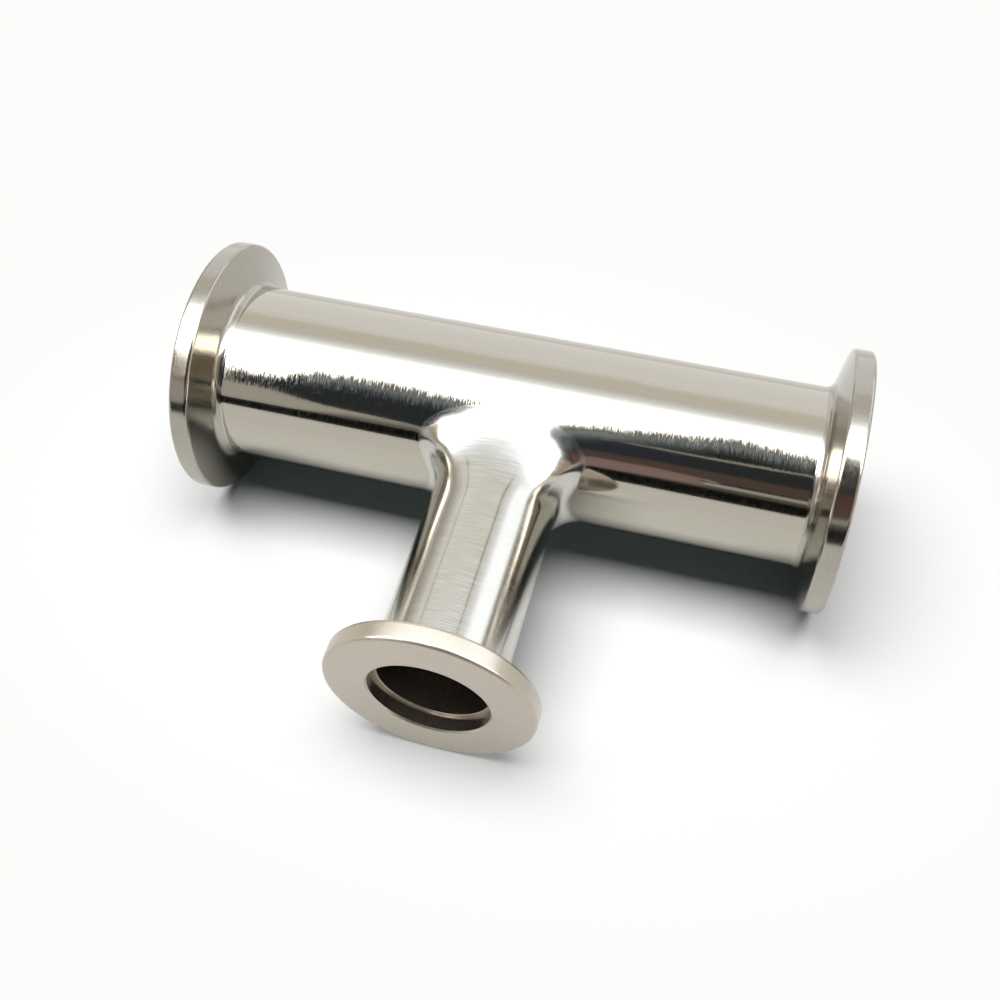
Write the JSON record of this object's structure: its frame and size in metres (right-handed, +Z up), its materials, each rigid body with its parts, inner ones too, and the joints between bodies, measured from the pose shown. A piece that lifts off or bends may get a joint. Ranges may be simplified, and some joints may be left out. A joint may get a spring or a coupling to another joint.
{
  "type": "reducing clamp-flange tee",
  "caption": "Polished steel pipe tee: a straight run of tube with a thinner side branch, each end ending in a clamp flange with a centring seat.",
  "frame": {"origin": "crossing of the run's axis and the branch's axis", "axes": "+X along the run, +Z up, branch towards -Y and drooping a little, as the tee lies on its three rims"},
  "size_m": [0.1, 0.0712, 0.04],
  "materials": {
    "polished_steel": "polished stainless steel"
  },
  "bodies": {
    "root": {"tee_body": "polished_steel"}
  },
  "joints": []
}
